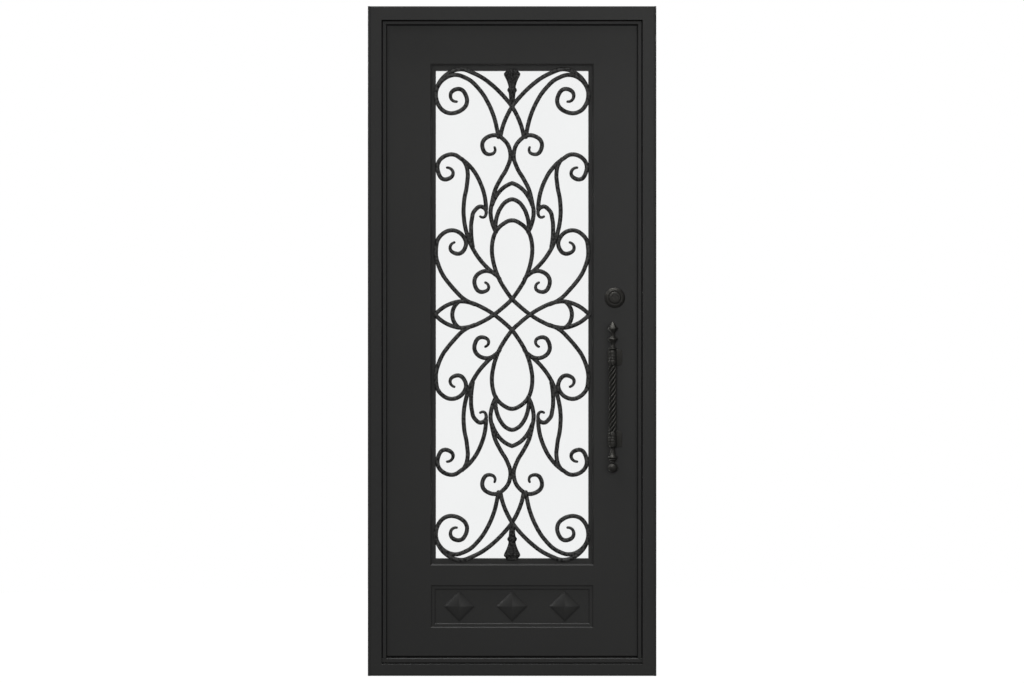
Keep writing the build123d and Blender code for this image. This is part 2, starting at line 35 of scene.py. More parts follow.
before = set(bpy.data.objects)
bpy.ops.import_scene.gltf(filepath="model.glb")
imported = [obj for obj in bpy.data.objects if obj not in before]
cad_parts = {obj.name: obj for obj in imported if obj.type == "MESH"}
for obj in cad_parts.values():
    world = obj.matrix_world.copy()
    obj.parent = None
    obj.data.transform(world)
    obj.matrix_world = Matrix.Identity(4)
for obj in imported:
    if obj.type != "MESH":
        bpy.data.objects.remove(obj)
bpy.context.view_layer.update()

mm = 0.001
edge_slack = 0.1 * mm

# Working by hand in code: one piece is active, and its parts are picked by place


def deselect_all():
    bpy.ops.object.select_all(action="DESELECT")


def choose(*pieces):
    """Makes these pieces the selection, with the last one active."""
    deselect_all()
    for piece in pieces:
        piece.select_set(True)
        bpy.context.view_layer.objects.active = piece


@contextmanager
def editing(piece, kind="FACE", test=None):
    """Edit mode on a piece, with the faces, edges or vertices that pass a test selected."""
    choose(piece)
    mesh = piece.data
    for parts in (mesh.vertices, mesh.edges, mesh.polygons):
        parts.foreach_set("select", [test is None] * len(parts))
    if test and kind == "FACE":
        for face in mesh.polygons:
            face.select = bool(test(face.center, face.normal))
    if test and kind == "EDGE":
        for edge in mesh.edges:
            start, end = (mesh.vertices[i].co for i in edge.vertices)
            edge.select = bool(test((start + end) / 2, (end - start).normalized()))
    if test and kind == "VERT":
        for vertex in mesh.vertices:
            vertex.select = bool(test(vertex.co, vertex.normal))
    bpy.context.tool_settings.mesh_select_mode = [kind == each for each in ("VERT", "EDGE", "FACE")]
    bpy.ops.object.mode_set(mode="EDIT")
    yield
    bpy.ops.object.mode_set(mode="OBJECT")


def settle(piece):
    """Puts a piece's place, turn and scale into its mesh."""
    choose(piece)
    bpy.ops.object.transform_apply(location=True, rotation=True, scale=True)
    return piece


def modify(piece, kind, **settings):
    """Adds a modifier and applies it."""
    choose(piece)
    modifier = piece.modifiers.new(kind.title(), kind)
    for name, value in settings.items():
        setattr(modifier, name, value)
    bpy.ops.object.modifier_apply(modifier=modifier.name)


def join(*pieces):
    """Joins pieces into the first."""
    choose(*reversed(pieces))
    bpy.ops.object.join()
    return bpy.context.object


def copy_of(piece):
    """A copy of a piece, with its own mesh."""
    choose(piece)
    bpy.ops.object.duplicate()
    return bpy.context.object


def outward(piece):
    """Merges doubles and points every face outwards."""
    with editing(piece, "VERT"):
        bpy.ops.mesh.remove_doubles(threshold=0.01 * mm)
        bpy.ops.mesh.normals_make_consistent(inside=False)
    return piece


def box(low, high):
    """A block between two corners."""
    low, high = Vector(low), Vector(high)
    bpy.ops.mesh.primitive_cube_add(size=1, location=(low + high) / 2, scale=high - low)
    return settle(bpy.context.object)


def sheet(left, right, bottom, top, depth_place):
    """A flat face towards the outside, at one depth."""
    bpy.ops.mesh.primitive_plane_add(
        size=1, location=((left + right) / 2, depth_place, (bottom + top) / 2), rotation=(pi / 2, 0, 0)
    )
    bpy.context.object.scale = (right - left, top - bottom, 1)
    return settle(bpy.context.object)


def thicken(piece, thickness):
    """Gives a face towards the outside its thickness, inwards."""
    modify(piece, "SOLIDIFY", thickness=thickness, offset=-1)
    return piece


def round_edges(piece, test, radius, segments=4):
    """Rounds the edges that pass a test, or chamfers them where there is one segment."""
    with editing(piece, "EDGE", test):
        bpy.ops.mesh.bevel(offset=radius, segments=segments, affect="EDGES")


def near(value, place):
    """Whether a value is at a place, to within a twentieth of a millimetre."""
    return abs(value - place) < edge_slack / 2


def within(middle, side, bottom, top):
    """Whether a place is in a rectangle or on its border, as seen from outside."""
    return abs(middle.x) < side + edge_slack and bottom - edge_slack < middle.z < top + edge_slack


def turned(stations, sides, start, along=(0, 0, 1), spin=0.0):
    """A turned piece: rings of a radius and a height, stacked from a point in one direction."""
    radius, height = stations[0]
    first_height = height
    bpy.ops.mesh.primitive_circle_add(vertices=sides, radius=radius, fill_type="NGON")
    piece = bpy.context.object
    with editing(piece, "FACE"):
        for next_radius, next_height in stations[1:]:
            bpy.ops.mesh.extrude_region_move(TRANSFORM_OT_translate={"value": (0, 0, next_height - height)})
            size = next_radius / radius
            top = (0, 0, next_height - first_height)
            bpy.ops.transform.resize(value=(size, size, 1), center_override=top)
            radius, height = next_radius, next_height
    piece.rotation_euler = (0, 0, spin)
    settle(piece)
    piece.location = Vector(start) + Vector(along) * first_height
    piece.rotation_mode = "QUATERNION"
    piece.rotation_quaternion = Vector(along).to_track_quat("Z", "Y")
    settle(piece)
    return outward(piece)


def dress(piece, name, material, body, nodes=(), smooth=35.0):
    """Names a finished piece, gives it its material and lets it ride on its body."""
    choose(piece)
    bpy.ops.object.shade_smooth_by_angle(angle=radians(smooth))
    piece.name = name
    piece.data.name = name
    piece.data.materials.clear()
    piece.data.materials.append(material)
    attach(piece, body)
    if nodes:
        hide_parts(*nodes)
    return piece


# Materials
coat_dark = "#282828"
coat_light = "#2E2E2D"
coat_roughness = 0.36
coat_specular = 0.45


def colour(hex_value):
    """An sRGB hex colour as linear red, green, blue and alpha."""
    channels = [int(hex_value[i:i + 2], 16) / 255 for i in (1, 3, 5)]
    return [c / 12.92 if c <= 0.04045 else ((c + 0.055) / 1.055) ** 2.4 for c in channels] + [1.0]


def per_metre(size):
    """The texture scale that gives a pattern a real size in millimetres."""
    return 1000 / size


def add_node(tree, kind, inputs=None, **settings):
    """Adds a node with its settings, and sets or links its inputs."""
    node = tree.nodes.new(kind)
    for name, value in settings.items():
        setattr(node, name, value)
    for name, value in (inputs or {}).items():
        if isinstance(value, bpy.types.NodeSocket):
            tree.links.new(value, node.inputs[name])
        else:
            node.inputs[name].default_value = value
    return node


def empty_tree(owner):
    """The node tree of a new material or world, with nothing in it yet."""
    owner.use_nodes = True
    owner.node_tree.nodes.clear()
    return owner.node_tree


def new_material(name):
    """A material with only its object coordinates, in metres."""
    material = bpy.data.materials.new(name)
    tree = empty_tree(material)
    place = add_node(tree, "ShaderNodeTexCoord").outputs["Object"]
    return material, tree, place


def finished(material, inputs):
    """Ends a material's tree in its shader, with these inputs."""
    shader = add_node(material.node_tree, "ShaderNodeBsdfPrincipled", inputs)
    add_node(material.node_tree, "ShaderNodeOutputMaterial", {"Surface": shader.outputs["BSDF"]})
    return material


def powder_coated_steel():
    """Polyester powder coat on steel sheet: a satin near-black with a faint orange peel."""
    material, tree, place = new_material("satin_powder_coat")
    cloud = add_node(tree, "ShaderNodeTexNoise", {"Vector": place, "Scale": per_metre(420), "Detail": 2.0})
    tone = add_node(
        tree, "ShaderNodeMix",
        {"Factor": cloud.outputs["Fac"], "A": colour(coat_dark), "B": colour(coat_light)},
        data_type="RGBA",
    )
    peel = add_node(tree, "ShaderNodeTexNoise", {"Vector": place, "Scale": per_metre(2.2), "Detail": 3.0})
    gloss = add_node(
        tree, "ShaderNodeMapRange",
        {"Value": peel.outputs["Fac"], "To Min": coat_roughness - 0.05, "To Max": coat_roughness + 0.05},
    )
    bump = add_node(
        tree, "ShaderNodeBump",
        {"Height": peel.outputs["Fac"], "Strength": 0.25, "Distance": 0.04 * mm},
    )
    return finished(material, {
        "Base Color": tone.outputs["Result"],
        "Roughness": gloss.outputs["Result"],
        "Normal": bump.outputs["Normal"],
        "Specular IOR Level": coat_specular,
    })


def forged_bars():
    """Hot-bent iron bars under the same coat: forge scale leaves dark and pale patches and a broken
    gloss. Real scale is 1 to 3 mm, which is under a pixel here, so it is drawn 9 mm coarse."""
    material, tree, place = new_material("coated_wrought_iron")
    marks = add_node(
        tree, "ShaderNodeTexVoronoi", {"Vector": place, "Scale": per_metre(9), "Smoothness": 0.6},
        feature="SMOOTH_F1",
    )
    scale = add_node(tree, "ShaderNodeTexNoise", {"Vector": place, "Scale": per_metre(9), "Detail": 3.0})
    patches = add_node(
        tree, "ShaderNodeMapRange", {"Value": scale.outputs["Fac"], "From Min": 0.37, "From Max": 0.63}
    )
    tone = add_node(
        tree, "ShaderNodeMix",
        {"Factor": patches.outputs["Result"], "A": colour("#0A0A0A"), "B": colour("#434342")},
        data_type="RGBA",
    )
    gloss = add_node(
        tree, "ShaderNodeMapRange", {"Value": scale.outputs["Fac"], "To Min": 0.32, "To Max": 0.52}
    )
    relief = add_node(
        tree, "ShaderNodeMath", {0: marks.outputs["Distance"], 1: scale.outputs["Fac"]}, operation="ADD"
    )
    bump = add_node(
        tree, "ShaderNodeBump", {"Height": relief.outputs["Value"], "Strength": 0.5, "Distance": 0.5 * mm}
    )
    return finished(material, {
        "Base Color": tone.outputs["Result"],
        "Roughness": gloss.outputs["Result"],
        "Normal": bump.outputs["Normal"],
        "Specular IOR Level": 0.5,
    })


def cast_husk_iron():
    """Sand-cast iron under the coat, with painted light: one noise sinks its pits in the bump and also
    paints them dark as painted shade, and its high points pale as a painted highlight. Sand pits of
    1 mm would not show, so they are drawn 7 mm coarse."""
    material, tree, place = new_material("coated_cast_iron")
    pits = add_node(tree, "ShaderNodeTexNoise", {"Vector": place, "Scale": per_metre(7), "Detail": 2.0})
    depth = add_node(
        tree, "ShaderNodeMapRange", {"Value": pits.outputs["Fac"], "From Min": 0.38, "From Max": 0.66}
    )
    # painted shade and highlight: dark where the bump sinks, pale where it rises
    tone = add_node(
        tree, "ShaderNodeMix",
        {"Factor": depth.outputs["Result"], "A": colour("#060606"), "B": colour("#363635")},
        data_type="RGBA",
    )
    gloss = add_node(
        tree, "ShaderNodeMapRange", {"Value": depth.outputs["Result"], "To Min": 0.55, "To Max": 0.3}
    )
    bump = add_node(
        tree, "ShaderNodeBump", {"Height": depth.outputs["Result"], "Strength": 0.8, "Distance": 1.0 * mm}
    )
    return finished(material, {
        "Base Color": tone.outputs["Result"],
        "Roughness": gloss.outputs["Result"],
        "Normal": bump.outputs["Normal"],
    })


def cast_hardware():
    """Cast bronze, darkened and lacquered: a grey-brown metal with a soft gloss that breaks up in the
    casting's grain. The grain is drawn 3 mm coarse, where the real one is under 1 mm."""
    material, tree, place = new_material("lacquered_dark_bronze")
    grain = add_node(tree, "ShaderNodeTexNoise", {"Vector": place, "Scale": per_metre(3), "Detail": 4.0})
    tone = add_node(
        tree, "ShaderNodeMix",
        {"Factor": grain.outputs["Fac"], "A": colour("#4B4A48"), "B": colour("#605F5B")},
        data_type="RGBA",
    )
    gloss = add_node(
        tree, "ShaderNodeMapRange", {"Value": grain.outputs["Fac"], "To Min": 0.36, "To Max": 0.48}
    )
    bump = add_node(
        tree, "ShaderNodeBump", {"Height": grain.outputs["Fac"], "Strength": 0.3, "Distance": 0.08 * mm}
    )
    return finished(material, {
        "Base Color": tone.outputs["Result"],
        "Roughness": gloss.outputs["Result"],
        "Normal": bump.outputs["Normal"],
        "Metallic": 0.9,
    })


def insulating_glass():
    """Clear float glass in a sealed unit: see-through, with a faint and slightly uneven grey cast."""
    material, tree, place = new_material("clear_float_glass")
    cast = add_node(tree, "ShaderNodeTexNoise", {"Vector": place, "Scale": per_metre(160), "Detail": 1.0})
    tint = add_node(
        tree, "ShaderNodeMix",
        {"Factor": cast.outputs["Fac"], "A": colour("#F2F3F3"), "B": colour("#F5F6F6")},
        data_type="RGBA",
    )
    return finished(material, {
        "Base Color": tint.outputs["Result"],
        "Roughness": 0.0,
        "Transmission Weight": 1.0,
        "IOR": 1.45,
    })


def seal_rubber():
    """Extruded rubber: matt black with a dusty bloom."""
    material, tree, place = new_material("black_epdm_rubber")
    bloom = add_node(tree, "ShaderNodeTexNoise", {"Vector": place, "Scale": per_metre(14), "Detail": 3.0})
    tone = add_node(
        tree, "ShaderNodeMix",
        {"Factor": bloom.outputs["Fac"], "A": colour("#0C0C0C"), "B": colour("#161616")},
        data_type="RGBA",
    )
    return finished(material, {"Base Color": tone.outputs["Result"], "Roughness": 0.8})


coat = powder_coated_steel()
iron = forged_bars()
cast_iron = cast_husk_iron()
bronze = cast_hardware()
glass = insulating_glass()
rubber = seal_rubber()

# The frame: four faces in one plane, with a rolled bead down each outer edge
jamb_low, jamb_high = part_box("hinge_jamb")
head_low, head_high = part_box("head_jamb")
frame_left, frame_right = head_low.x, head_high.x
frame_front, frame_back = jamb_low.y, jamb_high.y
frame_top = head_high.z
opening_side = -jamb_high.x
opening_top = head_low.z
sill_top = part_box("sill")[1].z
bead_radius = 5.0 * mm
bead_rise = 3.2 * mm
bead_ends = 1.5 * mm
jamb_chamfer = 1.2 * mm
sill_chamfer = 3.5 * mm
outer_chamfer = 4.5 * mm
bead_sides = 32
face_plane = frame_front + bead_rise


def window(piece, side, bottom, top):
    """Cuts a rectangular opening into a flat face, by bisecting it along the four sides."""
    cuts = [
        ((-side, 0, 0), (1, 0, 0)), ((side, 0, 0), (1, 0, 0)),
        ((0, 0, bottom), (0, 0, 1)), ((0, 0, top), (0, 0, 1)),
    ]
    for place, across in cuts:
        with editing(piece, "FACE"):
            bpy.ops.mesh.bisect(plane_co=place, plane_no=across)
    with editing(piece, "FACE", lambda middle, normal: within(middle, side, bottom, top)):
        bpy.ops.mesh.delete(type="FACE")


def build_frame():
    """The four faces of the frame with their chamfers, and the two beads."""
    piece = sheet(frame_left, frame_right, 0, frame_top, face_plane)
    window(piece, opening_side, sill_top, opening_top)
    thicken(piece, frame_back - face_plane)

    def round_opening(middle, along):
        at_opening = within(middle, opening_side, sill_top, opening_top)
        return at_opening and abs(along.y) < 0.5 and near(middle.y, face_plane)

    def outer_edges(middle, along):
        at_side = near(abs(middle.x), frame_right) and abs(along.z) > 0.5
        at_end = (near(middle.z, 0) or near(middle.z, frame_top)) and abs(along.x) > 0.5
        return at_side or at_end

    def at_jambs_and_head(middle, along):
        return round_opening(middle, along) and not near(middle.z, sill_top)

    def at_sill(middle, along):
        return round_opening(middle, along) and near(middle.z, sill_top)

    round_edges(piece, at_jambs_and_head, jamb_chamfer, 1)
    round_edges(piece, at_sill, sill_chamfer, 1)
    round_edges(piece, outer_edges, outer_chamfer, 1)
    for side in (-1, 1):
        start = (side * (frame_right - bead_radius), frame_front + bead_radius, 0)
        bead = [
            (bead_radius - bead_ends, 0), (bead_radius, bead_ends),
            (bead_radius, frame_top - bead_ends), (bead_radius - bead_ends, frame_top),
        ]
        piece = join(piece, turned(bead, bead_sides, start))
    nodes = ("hinge_jamb", "lock_jamb", "head_jamb", "sill")
    return dress(piece, "steel_frame", coat, "frame", nodes)


build_frame()

# The stops, the step of the threshold and the seal
stop_low, stop_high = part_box("hinge_side_stop")
step_low, step_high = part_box("threshold_step")
stop_width = stop_high.x - stop_low.x
head_stop_width = 13.5 * mm
stop_arris = 1.2 * mm
stop_quirk = 3.4 * mm
step_quirk = 3.5 * mm
step_chamfer = 3.0 * mm
seal_lip = 2.6 * mm
head_seal_lip = 3.9 * mm
seal_gap = 1.0 * mm
seal_rounding = 2.2 * mm


def slope_away(piece, test, move):
    """Moves the points of one edge, so that the face beside it slopes away into a dark quirk."""
    with editing(piece, "VERT", test):
        bpy.ops.transform.translate(value=move)


def build_stops():
    """The narrow band round the leaf: a flat border whose outer edges slope into a dark quirk."""
    inner = opening_side - stop_width
    inner_top = opening_top - head_stop_width
    piece = sheet(-opening_side, opening_side, step_high.z - stop_width, opening_top, stop_low.y)
    window(piece, inner, step_high.z, inner_top)
    with editing(piece, "FACE", lambda middle, normal: middle.z < step_high.z):
        bpy.ops.mesh.delete(type="FACE")
    thicken(piece, stop_high.y - stop_low.y)
    for side in (-1, 1):

        def outer_side(place, normal, x=side * opening_side):
            return near(place.x, x) and near(place.y, stop_low.y)

        slope_away(piece, outer_side, (-side * stop_quirk, 0, 0))

    def upper_side(place, normal):
        return near(place.z, opening_top) and near(place.y, stop_low.y)

    def inner_edges(middle, along):
        off_end = abs(along.z) > 0.5 or middle.z > step_high.z + edge_slack
        return within(middle, inner, step_high.z, inner_top) and off_end and abs(along.y) < 0.5

    slope_away(piece, upper_side, (0, 0, -stop_quirk))
    round_edges(piece, inner_edges, stop_arris)
    nodes = ("hinge_side_stop", "lock_side_stop", "head_stop")
    return dress(piece, "door_stops", coat, "frame", nodes)


def build_threshold_step():
    """The threshold's step, chamfered on top and undercut along its foot."""
    piece = box(step_low, step_high)

    def top_edges(middle, along):
        return near(middle.z, step_high.z) and abs(along.x) > 0.5

    def foot(place, normal):
        return near(place.z, step_low.z) and near(place.y, step_low.y)

    round_edges(piece, top_edges, step_chamfer, 1)
    slope_away(piece, foot, (0, 0, step_quirk))
    return dress(piece, "step_of_threshold", coat, "frame", ("threshold_step",))


def build_seal():
    """Three strips of bulb seal, down both sides and across the head."""
    low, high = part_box("weather_seal")
    side = opening_side - stop_width - seal_lip
    top = opening_top - head_stop_width - head_seal_lip
    strips = [
        box(low, (-side, high.y, top - seal_gap)),
        box((side, low.y, low.z), (high.x, high.y, top - seal_gap)),
        box((low.x, low.y, top), high),
    ]
    for strip in strips:
        round_edges(
            strip, lambda middle, along: near(middle.y, high.y) and abs(along.y) < 0.5, seal_rounding, 3
        )
    return dress(join(*strips), "bulb_seal", rubber, "frame", ("weather_seal",))


build_stops()
build_threshold_step()
build_seal()

# The leaf: one folded skin with ground corners, open at the light and the kick panel
leaf_low, leaf_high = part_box("hinge_stile")
hinge_edge = leaf_low.x
lock_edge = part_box("lock_stile")[1].x
leaf_front, leaf_back = leaf_low.y, leaf_high.y
leaf_bottom, leaf_top = leaf_low.z, leaf_high.z
ledge_low, ledge_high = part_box("light_ledge")
kick_low, kick_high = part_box("kick_panel")
recess_side = ledge_high.x
light_chamfer = 6.0 * mm
kick_chamfer = 3.8 * mm
chamfer_outside = 1.5 * mm
leaf_opening_side = recess_side - light_chamfer + chamfer_outside
leaf_chamfer = 1.0 * mm


def build_leaf():
    """The leaf's skin, with its two openings and their chamfers."""
    piece = sheet(hinge_edge, lock_edge, leaf_bottom, leaf_top, leaf_front)
    openings = []
    for node, chamfer in (("light_ledge", light_chamfer), ("kick_panel", kick_chamfer)):
        low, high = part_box(node)
        inset = chamfer - chamfer_outside
        openings.append((low.z + inset, high.z - inset, chamfer))
    for bottom, top, chamfer in openings:
        window(piece, leaf_opening_side, bottom, top)
    thicken(piece, leaf_back - leaf_front)

    def opening_edges(bottom, top):
        def test(middle, along):
            at_side = near(abs(middle.x), leaf_opening_side)
            on_border = at_side or near(middle.z, bottom) or near(middle.z, top)
            return on_border and within(middle, leaf_opening_side, bottom, top) and abs(along.y) < 0.5

        return test

    def outer_edges(middle, along):
        at_side = (near(middle.x, hinge_edge) or near(middle.x, lock_edge)) and abs(along.z) > 0.5
        at_end = (near(middle.z, leaf_bottom) or near(middle.z, leaf_top)) and abs(along.x) > 0.5
        return at_side or at_end

    for bottom, top, chamfer in openings:
        round_edges(piece, opening_edges(bottom, top), chamfer, 1)
    round_edges(piece, outer_edges, leaf_chamfer, 1)
    nodes = ("hinge_stile", "lock_stile", "top_rail", "middle_rail", "bottom_rail")
    return dress(piece, "leaf_skin", coat, "leaf", nodes)


build_leaf()

# Frames that hold the glass and the kick panel
ledge_arris = 1.2 * mm
moulding_chamfer = 3.4 * mm


def build_border(node, front, back, side, end, face_outside, radius, segments):
    """A flat border inside a node's box, with a rounded or chamfered edge on the side that shows."""
    low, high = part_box(node)
    piece = sheet(low.x, high.x, low.z, high.z, front)
    window(piece, high.x - side, low.z + end, high.z - end)
    thicken(piece, back - front)
    shown = front if face_outside else back

    def inner_edges(middle, along):
        at_opening = within(middle, high.x - side, low.z + end, high.z - end)
        return at_opening and near(middle.y, shown) and abs(along.y) < 0.5

    round_edges(piece, inner_edges, radius, segments)
    return piece


light_half_width = 283.5 * mm
ledge_side = recess_side - light_half_width
ledge_end = 23.5 * mm
back_low, back_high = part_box("glazing_frame")
dress(
    build_border("light_ledge", ledge_low.y, ledge_high.y, ledge_side, ledge_end, True, ledge_arris, 3),
    "glazing_ledge", coat, "leaf", ("light_ledge",),
)
dress(
    build_border("glazing_frame", back_low.y, back_high.y, ledge_side, ledge_end, False, ledge_arris, 3),
    "inner_glazing_frame", coat, "leaf", ("glazing_frame",),
)
moulding_low, moulding_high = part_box("kick_panel_moulding")
moulding_side = 17.5 * mm
moulding_end = 15.5 * mm
mouldings = [
    build_border(
        "kick_panel_moulding", front, back, moulding_side, moulding_end, outside, moulding_chamfer, 1
    )
    for front, back, outside in (
        (moulding_low.y, kick_low.y, True), (kick_high.y, moulding_high.y, False)
    )
]
dress(join(*mouldings), "kick_mouldings", coat, "leaf", ("kick_panel_moulding",))

# The pyramid studs
stud_side = 82 * mm
stud_edge = 0.8 * mm
stud_rim_width = 6.5 * mm
stud_rim_rise = 6.0 * mm
stud_rim_rounding = 0.8 * mm
stud_rise = 18 * mm
stud_tip = 1.2 * mm
stud_spacing = 196 * mm


def build_studs():
    """Three pyramids with sloped rims, each a thin plate drawn up twice and turned on its corner."""
    half = stud_side / 2
    rings = [(stud_side - 2 * stud_rim_width, stud_rim_rise), (stud_tip, stud_rise)]
    studs = []
    for step in (-1, 0, 1):
        stud = box((-half, -stud_edge, -half), (half, 0, half))
        width, depth = stud_side, stud_edge
        with editing(stud, "FACE", lambda centre, normal: normal.y < -0.5):
            for next_width, next_depth in rings:
                rise = {"value": (0, depth - next_depth, 0)}
                bpy.ops.mesh.extrude_region_move(TRANSFORM_OT_translate=rise)
                size = next_width / width
                bpy.ops.transform.resize(value=(size, 1, size), center_override=(0, 0, 0))
                width, depth = next_width, next_depth
        round_edges(stud, lambda centre, along: near(centre.y, -stud_rim_rise), stud_rim_rounding, 2)
        stud.rotation_euler = (0, radians(45), 0)
        stud.location = (step * stud_spacing, kick_low.y, (kick_low.z + kick_high.z) / 2)
        studs.append(settle(stud))
    return dress(join(*studs), "stud_plates", coat, "leaf", ("pyramid_studs",), 20)


build_studs()

# The hinges, three pairs of knuckles with button ends on their tabs
axis_x = -479.9 * mm
axis_y = 80 * mm
barrel_radius = 14 * mm
barrel_half = 75 * mm
barrel_gap = 1 * mm
barrel_sides = 40
button_height = 6 * mm
hinge_heights = [330.0 * mm, 1245.25 * mm, 2160.5 * mm]
tab_thickness = 6 * mm
tab_reach = 42 * mm
tab_arris = 1.2 * mm


def knuckle(height, upward, side):
    """Half a hinge: a knuckle with a button end, and the tab that is welded to the steel."""
    radius = barrel_radius
    groove_radius = radius - 1.5 * mm
    start = barrel_gap if upward else 0.0
    profile = [
        (radius - 1 * mm, start), (radius, start + 1 * mm), (radius, barrel_half - 9 * mm),
        (groove_radius, barrel_half - 8 * mm), (groove_radius, barrel_half - 7 * mm),
        (radius, barrel_half - button_height), (radius, barrel_half - 4 * mm),
        (radius * 0.8, barrel_half - 1 * mm), (radius * 0.35, barrel_half),
    ]
    direction = (0, 0, 1) if upward else (0, 0, -1)
    barrel = turned(profile, barrel_sides, (axis_x, axis_y, height), direction)
    lowest = height + start if upward else height - barrel_half + button_height
    highest = height + barrel_half - button_height if upward else height
    tab_end = hinge_edge + tab_reach if side > 0 else -opening_side - tab_reach
    tab_back = leaf_back + tab_thickness
    tab = box((min(axis_x, tab_end), leaf_back, lowest), (max(axis_x, tab_end), tab_back, highest))
    round_edges(tab, lambda middle, along: near(middle.y, tab_back), tab_arris, 3)
    web_end = axis_x + side * radius
    web = box((min(axis_x, web_end), leaf_back, lowest), (max(axis_x, web_end), axis_y, highest))
    return join(barrel, tab, web)


def build_hinges():
    """The lower knuckles stay with the frame, and the upper ones swing with the leaf."""
    lower = join(*[knuckle(height, False, -1) for height in hinge_heights])
    dress(lower, "frame_knuckles", coat, "frame", ("hinge_frame_halves",))
    upper = join(*[knuckle(height, True, 1) for height in hinge_heights])
    dress(upper, "leaf_knuckles", coat, "leaf", ("hinge_leaf_halves",))


build_hinges()

# The pull: two mounts, a rope-twisted grip and two finials
grip_low, grip_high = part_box("pull_grip")
pull_x = (grip_low.x + grip_high.x) / 2
pull_y = (grip_low.y + grip_high.y) / 2
grip_radius = (grip_high.x - grip_low.x) / 2
strand_count = 5
strand_lead = 99 * mm
strand_step = 3.5 * mm
strand_radius = 5.5 * mm
strand_sides = 14
core_radius = grip_radius - 1.3 * strand_radius
core_sides = 24


def build_grip():
    """Strands laid round a core, each a round section drawn up and turned step by step."""
    length = grip_high.z - grip_low.z
    steps = round(length / strand_step)
    rise = length / steps
    turn = 2 * pi * rise / strand_lead
    strands = []
    for number in range(strand_count):
        start = 2 * pi * number / strand_count
        bpy.ops.mesh.primitive_circle_add(
            vertices=strand_sides, radius=strand_radius, fill_type="NGON",
            location=(grip_radius - strand_radius, 0, 0),
        )
        strand = settle(bpy.context.object)
        with editing(strand, "FACE"):
            for step in range(steps):
                bpy.ops.mesh.extrude_region_move(TRANSFORM_OT_translate={"value": (0, 0, rise)})
                bpy.ops.transform.rotate(
                    value=-turn, orient_axis="Z", center_override=(0, 0, rise * (step + 1))
                )
        strand.rotation_euler = (0, 0, start)
        strand.location = (pull_x, pull_y, grip_low.z)
        strands.append(outward(settle(strand)))
    core = turned([(core_radius, 0), (core_radius, length)], core_sides, (pull_x, pull_y, grip_low.z))
    return join(*strands, core)


# Profiles of turned pieces are millimetres: each ring's radius, and its height from the start
plate_thickness = 6 * mm
plate_corner = 10 * mm
plate_arris = 1.2 * mm
post_half_width = 11 * mm
post_half_height = 20 * mm
post_corner = 8 * mm
post_seat = 5 * mm
hub_sides = 48
hub_half = [
    (9.5, 30), (11.5, 29.2), (15.3, 25.6), (15.5, 25), (13.8, 23.5), (13.8, 22), (15.3, 20), (15.3, 13),
    (14.0, 11.5), (14.0, 9.5), (15.3, 8), (15.3, 2), (13.8, 0),
]
hub_profile = [(radius, -height) for radius, height in hub_half[:-1]] + hub_half[::-1]


def in_mm(profile):
    """A profile in metres, with no ring so small that it closes."""
    return [(max(radius, 0.4) * mm, height * mm) for radius, height in profile]


def lengthwise(middle, along):
    """The edges that run from the outside to the inside."""
    return abs(along.y) > 0.5


def mount_piece(node):
    """A plate, a post and a ribbed hub, inside the mount's box."""
    low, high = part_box(node)
    middle = (low.z + high.z) / 2
    plate_front = leaf_front - plate_thickness
    plate = box((low.x, plate_front, low.z), (high.x, leaf_front, high.z))
    round_edges(plate, lengthwise, plate_corner, 6)
    round_edges(plate, lambda centre, along: near(centre.y, plate_front), plate_arris, 3)
    post = box(
        (pull_x - post_half_width, pull_y, middle - post_half_height),
        (pull_x + post_half_width, leaf_front - post_seat, middle + post_half_height),
    )
    round_edges(post, lengthwise, post_corner, 6)
    hub = turned(in_mm(hub_profile), hub_sides, (pull_x, pull_y, middle))
    return join(hub, post, plate)


upper_neck = [
    (13, 0), (15.5, 0.6), (16.3, 2), (15.5, 3.6), (11.0, 6), (9.0, 10), (7.6, 15), (7.4, 19), (8.5, 23),
    (12.5, 28), (17.0, 33.5), (19.0, 36.5), (19.3, 38), (18.6, 39.5), (13.0, 43.5), (9.5, 46.5),
    (8.0, 48.5), (7.8, 56), (8.6, 60),
]
upper_head = [(8.5, 60), (18.6, 73.5), (19.3, 76), (18.0, 79), (12.5, 87.5), (6.0, 97), (0.8, 102.5)]
lower_neck = [
    (11, 0), (9.0, 2.0), (7.6, 6), (7.4, 11), (8.4, 15), (9.6, 20), (10.6, 26), (12.0, 30), (15.5, 33),
    (17.8, 35.4), (18.2, 37), (17.6, 38.8), (12.8, 40.6), (12.4, 41.8), (14.8, 43.2), (15.4, 45),
    (14.6, 47.4), (10.6, 49.6), (8.8, 52), (8.8, 56),
]
ball_radius = 18.2
ball_middle = 75.5
lower_ball = [
    (ball_radius * cos(angle), ball_middle + ball_radius * sin(angle))
    for angle in [radians(step) for step in range(-60, 90, 10)]
]
neck_sides = 40
ball_sides = 32
facets = 6
facet_arris = 0.7 * mm
faceted_from = 66 * mm


def upper_finial_piece():
    """A turned neck under a six-sided head that runs to a point."""
    start = Vector((pull_x, pull_y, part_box("pull_upper_finial")[0].z))
    neck = turned(in_mm(upper_neck), neck_sides, start)
    head = turned(in_mm(upper_head), facets, start, spin=pi / facets)
    round_edges(head, lambda centre, along: centre.z > start.z + faceted_from, facet_arris, 2)
    return join(neck, head)


def lower_finial_piece():
    """A turned neck that ends in a ball, downwards."""
    start = Vector((pull_x, pull_y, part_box("pull_lower_finial")[1].z))
    neck = turned(in_mm(lower_neck), neck_sides, start, (0, 0, -1))
    ball = turned(in_mm(lower_ball), ball_sides, start, (0, 0, -1))
    return join(neck, ball)


def through_leaf(piece):
    """The same piece on the inner side, as its mirror image through the leaf's middle."""
    inner = copy_of(piece)
    inner.scale = (1, -1, 1)
    inner.location = (0, leaf_front + leaf_back, 0)
    return outward(settle(inner))


